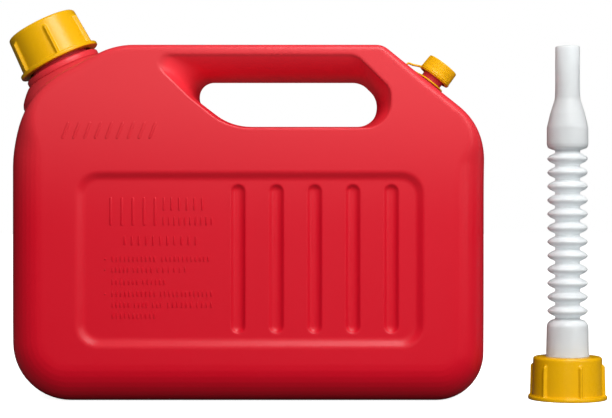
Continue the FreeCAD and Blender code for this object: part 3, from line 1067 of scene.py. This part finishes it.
@dataclass
class RibbedCap:
    """Screw cap or screw collar with six ribs and a flange."""

    dresser: Dresser
    name: str
    node: str
    body: str
    seat: Seat
    phase: float
    opening: float = 0.0
    height: float = 33.7
    taper: float = 0.8
    wall_radius: float = 28.3
    flange_radius: float = 32.2
    flange_height: float = 3.2
    bore: float = 26.6
    roof: float = 2.3
    rib_reach: float = 2.5
    rib_half_width: float = 1.75
    rib_top: float = 27.8
    thread: Thread = Thread(6.0, 1.4, 12.0, 2.2, 2.2)

    COUNT = 300

    def profile(self) -> list[Point2]:
        """Outside of the cap.

        Returns:
            Its points from the lip to the middle of the roof.
        """
        corners = [(self.bore, 0.0, 0.0), (self.flange_radius, 0.0, 0.9),
                   (self.flange_radius, self.flange_height, 1.1),
                   (self.wall_radius, self.flange_height, 0.9),
                   (self.wall_radius - self.taper, self.height, 2.2),
                   (max(self.opening, 0.6), self.height, 0.0)]
        return rounded(corners, 6, closed=False)

    def rib(self, angle: float, z: float) -> float:
        """How far the ribs stand out.

        Args:
            angle: the place round the cap, in degrees.
            z: the height on the cap.

        Returns:
            The distance, 0 between the ribs.
        """
        off = (angle - self.phase + 30.0) % 60.0 - 30.0
        across = abs(math.radians(off)) * self.wall_radius
        side = 1.0 - ease(across, self.rib_half_width * 0.15, self.rib_half_width * 1.15)
        return self.rib_reach * side * (1.0 - ease(z, self.rib_top - 1.4, self.rib_top + 0.6))

    def build(self) -> bpy.types.Object:
        """Finished cap on its body.

        Returns:
            The cap.
        """
        outside = denser(self.profile(), lambda start, end: math.ceil(abs(end[1] - start[1]) / 0.9))
        rows: list[Row] = []
        for radius, z in outside:
            ribbed = z >= self.flange_height * 0.8 and radius > self.wall_radius - 3.0
            limit = self.flange_radius - 0.7 if ribbed else radius
            rows.append(turned(self.COUNT, z, lambda turn: max(
                radius, min(radius + self.rib(math.degrees(turn), z), limit))))
        under = self.height - self.roof
        lip = under - 0.8
        inside = [(max(self.opening, 0.6), under), (self.bore - 0.8, under), (self.bore, lip)]
        steps = 36
        inside += [(self.bore, lip * (1.0 - i / steps) + 0.3 * i / steps) for i in range(1, steps + 1)]
        for radius, z in inside:
            threaded = radius == self.bore
            rows.append(turned(self.COUNT, z, lambda turn: radius - (self.thread.rise(turn, z) if threaded
                                                                     else 0.0)))
        if self.opening > 0.0:
            piece = Bench.wrap(self.name, rows, ring=True)
        else:
            split = len(outside)
            piece = Bench.wrap(self.name, rows[split:] + rows[:split])
        self.seat.settle(piece)
        self.dresser.dress(piece, CAP_YELLOW, "cap_plastic", 42.0)
        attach(piece, self.body)
        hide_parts(self.node)
        return piece


@dataclass
class VentCap:
    """Knurled vent cap with a groove for its tether."""

    dresser: Dresser
    knurls: int = 60
    depth: float = 0.22
    bore: float = 11.0
    roof: tuple[Point2, ...] = ((0.5, 10.9), (10.4, 10.9), (11.0, 10.3))
    outside: tuple[Point2, ...] = (
        (11.0, 0.0), (13.3, 0.0), (13.5, 0.2), (13.5, 0.5), (13.35, 0.6), (11.9, 0.6), (11.9, 2.2),
        (13.4, 2.2), (13.55, 2.35), (13.55, 2.7), (13.5, 3.1), (13.45, 6.0), (13.35, 9.0), (13.25, 11.6),
        (13.2, 12.2), (13.0, 12.6), (12.7, 12.9), (12.2, 13.0), (8.0, 13.0), (0.5, 13.0))
    thread: Thread = Thread(3.0, 1.2, 3.1, 1.5, 1.1)

    def reach(self, radius: float, z: float, turn: float) -> float:
        """Distance from the axis with the knurls and the thread.

        Args:
            radius: the plain distance.
            z: the height on the cap.
            turn: the place round the cap, in radians.

        Returns:
            The distance.
        """
        gripped = ease(z, 2.5, 3.1) * (1.0 - ease(z, 11.8, 12.6)) if radius > 12.0 else 0.0
        wave = 0.5 - 0.5 * math.cos(turn * self.knurls)
        ridge = self.thread.rise(turn, z) if radius == self.bore and z > 0.0 else 0.0
        return radius - self.depth * gripped * wave - ridge

    def build(self) -> bpy.types.Object:
        """Finished vent cap on its body.

        Returns:
            The cap.
        """
        wall = [(self.bore, 10.3 - 10.0 * i / 24) for i in range(1, 25)]
        rows = [turned(self.knurls * 5, z, lambda turn: self.reach(radius, z, turn))
                for radius, z in [*self.roof, *wall, *self.outside]]
        piece = Bench.wrap("vent_cap_knurled", rows)
        VENT_SEAT.settle(piece)
        self.dresser.dress(piece, CAP_YELLOW, "cap_plastic", 50.0)
        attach(piece, "vent")
        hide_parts("vent_cap")
        return piece


@dataclass
class Tether:
    """Ring, hairpin strap and collar that hold the vent cap to the can."""

    dresser: Dresser
    half_width: float = 2.5
    half_thick: float = 0.7
    strap_start: tuple[Point2, ...] = ((-11.0, -5.1), (-14.0, -5.4), (-18.5, -6.2))
    strap_bend: Corner = (-21.8, -4.4, 1.8)
    strap_end: tuple[Point2, ...] = ((-19.4, -1.9), (-16.4, -0.4), (-13.2, 1.1))

    def band(self, name: str, inner: float, outer: float, low: float, high: float) -> bpy.types.Object:
        """Flat ring with soft edges about the vent's axis.

        Args:
            name: the ring's name.
            inner: its inner radius.
            outer: its outer radius.
            low: its lower side.
            high: its upper side.

        Returns:
            The ring.
        """
        corners = [(inner, low, 0.25), (outer, low, 0.4), (outer, high, 0.4), (inner, high, 0.25)]
        piece = Bench.lathe(name, rounded(corners, 3), 96)
        VENT_SEAT.settle(piece)
        return piece

    def strap(self) -> bpy.types.Object:
        """Hairpin strap, swept along its path uphill and back.

        Returns:
            The strap.
        """
        x, z, bend = self.strap_bend
        turns = [math.radians(-90.0 - 165.0 * step / 12) for step in range(13)]
        hairpin = [(x + bend * math.cos(turn), z + bend * math.sin(turn)) for turn in turns]
        path = [Vector(spot) for spot in (*self.strap_start, *hairpin, *self.strap_end)]
        wide, thick = self.half_width, self.half_thick
        section = rounded([(-wide, -thick, 0.4), (wide, -thick, 0.4), (wide, thick, 0.4),
                           (-wide, thick, 0.4)], 3)
        rows: list[Row] = []
        for i, spot in enumerate(path):
            run = (path[min(i + 1, len(path) - 1)] - path[max(i - 1, 0)]).normalized()
            side = Vector((-run.y, run.x))
            rows.append([(spot.x + side.x * up, across, spot.y + side.y * up) for across, up in section])
        piece = Bench.wrap("tether_hairpin", rows)
        VENT_SEAT.settle(piece)
        return piece

    def build(self) -> None:
        """All three parts of the tether, the ring and the cuff on their bodies."""
        ring = self.band("tether_band", 9.2, 12.2, -5.7, -4.5)
        self.dresser.dress(ring, CAP_YELLOW, "cap_plastic", 50.0)
        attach(ring, "can")
        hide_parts("tether_ring")
        collar = self.band("tether_cuff", 12.15, 13.9, 0.75, 2.05)
        self.dresser.dress(collar, CAP_YELLOW, "cap_plastic", 50.0)
        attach(collar, "vent_riser")
        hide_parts("tether_collar")
        strap = self.strap()
        self.dresser.dress(strap, CAP_YELLOW, "cap_plastic", 50.0)
        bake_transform(strap)
        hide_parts("tether_strap")


# --------------------------------------------------------------------------- spout
@dataclass
class Spout:
    """Flexible pouring spout: foot tube, folds, bulb and outlet."""

    dresser: Dresser
    wall: float = 1.3
    first: float = 69.5
    pitch: float = 10.91
    folds: int = 12
    rigid: tuple[int, int] = (5, 7)
    fold_radius: float = 15.9
    root: float = 9.7

    def fold(self, low: int, high: int) -> list[Point2]:
        """Outside of the folds, each a lens on a narrow neck.

        Args:
            low: the count of the first fold, from the bottom.
            high: the count past the last fold.

        Returns:
            The points from the lowest up.
        """
        corners: list[Corner] = []
        bottom = self.first + (low - 0.5) * self.pitch
        corners.append((self.root, bottom, 0.0))
        for i in range(low, high):
            peak = self.first + i * self.pitch
            corners += [(self.root, peak - 4.5, 0.7), (self.fold_radius - 2.1, peak - 2.5, 3.0),
                        (self.fold_radius + 0.5, peak, 1.5),
                        (self.fold_radius - 2.1, peak + 2.5, 3.0), (self.root, peak + 4.5, 0.7)]
        corners.append((self.root, self.first + (high - 0.5) * self.pitch, 0.0))
        return rounded(corners, 4, closed=False)

    def tube(self, name: str, outside: Sequence[Point2]) -> bpy.types.Object:
        """Thin tube of revolution with an even wall.

        Args:
            name: the tube's name.
            outside: the points of its outside, from the lowest up.

        Returns:
            The tube, with how deep each point lies in a fold.
        """
        course = list(outside)
        inside: list[Point2] = []
        for i, (radius, z) in enumerate(course):
            before = Vector(course[max(i - 1, 0)])
            after = Vector(course[min(i + 1, len(course) - 1)])
            run = (after - before).normalized()
            if i in (0, len(course) - 1):
                inside.append((radius - self.wall, z))
            else:
                inside.append((radius - run.y * self.wall, z + run.x * self.wall))
        piece = Bench.lathe(name, course + inside[::-1], 96)
        # fold depth also masks the painted glow that lightens the fold valleys
        depth = piece.data.attributes.new(FOLD_DEPTH, "FLOAT", "POINT")
        for vertex, value in zip(piece.data.vertices, depth.data):
            radius = math.hypot(vertex.co.x, vertex.co.y) / MM
            value.value = 1.0 - ease(radius, self.root, self.fold_radius)
        SPOUT_SEAT.settle(piece)
        return piece

    def foot(self) -> bpy.types.Object:
        """Wide tube at the bottom, with its flange and snap bead.

        Returns:
            The tube.
        """
        corners = [(25.6, 27.4, 0.0), (25.6, 29.6, 0.6), (16.8, 29.6, 0.5), (16.8, 33.9, 0.2),
                   (17.3, 34.2, 0.3), (16.8, 34.9, 0.3), (16.2, 61.9, 6.0), (self.root + 0.5, 62.9, 0.5),
                   (self.root, self.first - 0.5 * self.pitch, 0.0)]
        outside = rounded(corners, 6, closed=False)
        inside = rounded([(self.root - self.wall, self.first - 0.5 * self.pitch, 0.0),
                          (self.root - self.wall, 61.4, 0.8), (14.7, 60.2, 4.6), (15.3, 27.4, 0.0)], 5,
                         closed=False)
        piece = Bench.lathe("spout_foot_tube", outside + inside, 96)
        SPOUT_SEAT.settle(piece)
        return piece

    def outlet(self) -> bpy.types.Object:
        """Bulb and straight outlet at the top.

        Returns:
            The outlet.
        """
        low = self.first + (self.folds - 0.5) * self.pitch
        corners = [(self.root, low, 0.0), (self.root, low + 1.0, 0.8), (15.4, 198.0, 2.2),
                   (16.2, 201.0, 3.0), (16.2, 214.0, 12.0), (13.6, 225.0, 20.0), (9.9, 236.5, 14.0),
                   (9.6, 246.0, 0.4), (9.6, 278.0, 0.7), (8.3, 278.0, 0.3)]
        outside = rounded(corners, 7, closed=False)
        inside = rounded([(8.3, 246.0, 4.0), (8.6, 236.5, 14.0), (12.3, 225.0, 18.0), (14.9, 214.0, 10.0),
                          (14.9, 201.0, 3.0), (14.2, 199.2, 1.5), (self.root - self.wall, low + 1.6, 0.6),
                          (self.root - self.wall, low, 0.0)], 7, closed=False)
        piece = Bench.lathe("spout_outlet", outside + [(8.3, 262.0)] + inside, 96)
        SPOUT_SEAT.settle(piece)
        return piece

    def build(self) -> None:
        """All parts of the spout, the foot, the middle folds and the outlet on their bodies."""
        foot = self.foot()
        self.dresser.dress(foot, SPOUT_MILK, "spout_plastic", 50.0)
        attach(foot, "spout_foot")
        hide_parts("spout_base")
        a, b = self.rigid
        middle = self.tube("spout_folds_middle", self.fold(a, b))
        self.dresser.dress(middle, SPOUT_MILK, "spout_plastic", 60.0)
        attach(middle, "spout_middle")
        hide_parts("spout_bellows_middle")
        outlet = self.outlet()
        self.dresser.dress(outlet, SPOUT_MILK, "spout_plastic", 50.0)
        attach(outlet, "spout_tip")
        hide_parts("spout_nozzle")
        stretches = (
            ("spout_folds_lower", 0, a, "spout_foot", "spout_middle", "spout_bellows_lower"),
            ("spout_folds_upper", b, self.folds, "spout_middle", "spout_tip", "spout_bellows_upper"))
        for name, low, high, start_body, end_body, node in stretches:
            piece = self.tube(name, self.fold(low, high))
            self.dresser.dress(piece, SPOUT_MILK, "spout_plastic", 60.0)
            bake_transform(piece)
            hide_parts(node)


# --------------------------------------------------------------------------- studio
@dataclass(frozen=True)
class Lamp:
    """Soft rectangular light, in metres and watts, with or without a reflection of its own."""

    at: Point3
    size: Point2
    power: float
    glint: bool = True


@dataclass
class Studio:
    """Camera, floor and lights."""

    eye: Point3 = (45.0, -1300.0, 141.0)
    lens: float = 94.7
    rise: float = 0.0183
    bounce: float = 0.08
    floor_glow: float = 0.85
    low_sky: float = 0.25
    high_sky: float = 0.4
    mirror_sky: float = 0.0
    target: Point3 = (0.06, 0.0, 0.16)
    lamps: tuple[Lamp, ...] = (Lamp((0.4, -0.85, 1.15), (0.7, 0.7), 15.5),
                               Lamp((1.3, -1.2, 0.7), (0.8, 0.8), 7.0),
                               Lamp((0.05, -1.9, 0.55), (1.0, 1.0), 19.5, glint=False))

    def camera(self) -> None:
        """Camera in front of the can, level with its middle."""
        Bench.clear()
        bpy.ops.object.camera_add(location=Vector(self.eye) * MM, rotation=(math.radians(90.0), 0.0, 0.0))
        camera = bpy.context.object
        camera.data.lens = self.lens
        camera.data.shift_y = self.rise
        camera.data.clip_end = 50.0
        bpy.context.scene.camera = camera

    def floor(self) -> None:
        """Plain pale floor, paler to the eye than in the light that it throws back."""
        Bench.clear()
        bpy.ops.mesh.primitive_plane_add(size=30.0, location=(0.0, 0.0, 0.0))
        plane = bpy.context.object
        plane.name = "floor"
        book = Recipe("floor_pale")
        seen = book.ray("Is Camera Ray")
        book.wear("Base Color", book.blend(seen, (self.bounce,) * 3, (0.95, 0.95, 0.95)))
        book.wear("Roughness", 0.9)
        book.wear("Specular IOR Level", 0.0)
        white = {"Color": (1.0, 1.0, 1.0, 1.0), "Strength": self.floor_glow}
        glow = book.node("ShaderNodeEmission", {}, white)
        shade = Sum(book, book.shader.outputs[0])
        both = book.node("ShaderNodeAddShader", {}, {0: shade, 1: glow})
        mixed = book.node("ShaderNodeMixShader", {}, {0: seen, 1: shade, 2: both})
        book.link(mixed, book.tree.nodes["Material Output"].inputs["Surface"])
        plane.data.materials.append(book.material)

    def light(self, lamp: Lamp) -> None:
        """Hangs one lamp, aimed at the can.

        Args:
            lamp: the lamp to hang.
        """
        Bench.clear()
        heading = (Vector(self.target) - Vector(lamp.at)).to_track_quat("-Z", "Y").to_euler()
        bpy.ops.object.light_add(type="AREA", location=lamp.at, rotation=heading)
        bpy.context.object.visible_glossy = lamp.glint
        light = bpy.context.object.data
        light.shape = "RECTANGLE"
        light.size, light.size_y = lamp.size
        light.energy = lamp.power

    def sky(self) -> None:
        """White room, brighter to the eye than the light it gives."""
        world = bpy.data.worlds.new("studio")
        world.use_nodes = True
        book = Book(world.node_tree)
        background = book.tree.nodes["Background"]
        background.inputs["Color"].default_value = (1.0, 1.0, 1.0, 1.0)
        way = book.node("ShaderNodeTexCoord", {}, {}, "Generated")
        climb = book.node("ShaderNodeMapRange", {}, {
            "Value": book.height(way), "From Min": 0.0, "From Max": 0.8, "To Min": self.low_sky,
            "To Max": self.high_sky})
        matt = book.node("ShaderNodeMix", {}, {0: book.ray("Is Glossy Ray"), 2: climb, 3: self.mirror_sky})
        level = book.node("ShaderNodeMix", {}, {0: book.ray("Is Camera Ray"), 2: matt, 3: 1.0})
        book.link(level, background.inputs["Strength"])
        bpy.context.scene.world = world

    def build(self) -> None:
        """Whole studio."""
        self.camera()
        self.floor()
        for lamp in self.lamps:
            self.light(lamp)
        self.sky()
        bpy.context.scene.view_settings.view_transform = "Standard"


# --------------------------------------------------------------------------- assembly
def build_all() -> None:
    """Builds every piece in order."""
    dresser = Dresser()
    Studio().build()
    CanSkin(dresser).build()
    RaisedMarks(dresser).build()
    Neck(dresser, "filler_neck_threaded", "filler_neck", NECK_SEAT, Thread(6.0, 1.4, 15.0, 2.2, 2.6),
         root=23.8, bore=FILLER_BORE, top=29.7,
         foot=((FILLER_BORE, -8.5, 0.0), (31.0, -8.5, 1.2), (31.0, -3.0, 1.6), (23.8, -3.0, 1.2))).build()
    Neck(dresser, "vent_neck_threaded", "vent_neck", VENT_SEAT, Thread(3.0, 1.2, 4.6, 1.5, 1.3),
         root=9.0, bore=VENT_BORE, top=9.4,
         foot=((VENT_BORE, -13.0, 0.0), (11.8, -13.0, 0.0), (11.8, -6.4, 0.8), (9.0, -6.4, 0.4))).build()
    RibbedCap(dresser, "main_cap_ribbed", "main_cap", "cap", NECK_SEAT, 279.0, taper=1.6, wall_radius=30.5,
              flange_radius=33.6).build()
    VentCap(dresser).build()
    Tether(dresser).build()
    RibbedCap(dresser, "spout_collar_ribbed", "spout_collar", "spout_nut", SPOUT_SEAT, 282.0, opening=17.0,
              wall_radius=27.7, flange_radius=30.9, bore=26.4, rib_reach=2.2).build()
    Spout(dresser).build()
    for node in ("main_cap_liner", "vent_cap_liner", "spout_gasket"):
        dresser.dress(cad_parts[node], SEAL_GREY, "seal", 40.0)


def main() -> None:
    """Builds the scene."""
    logging.basicConfig(level=logging.INFO)
    build_all()


if __name__ == "__main__":
    main()
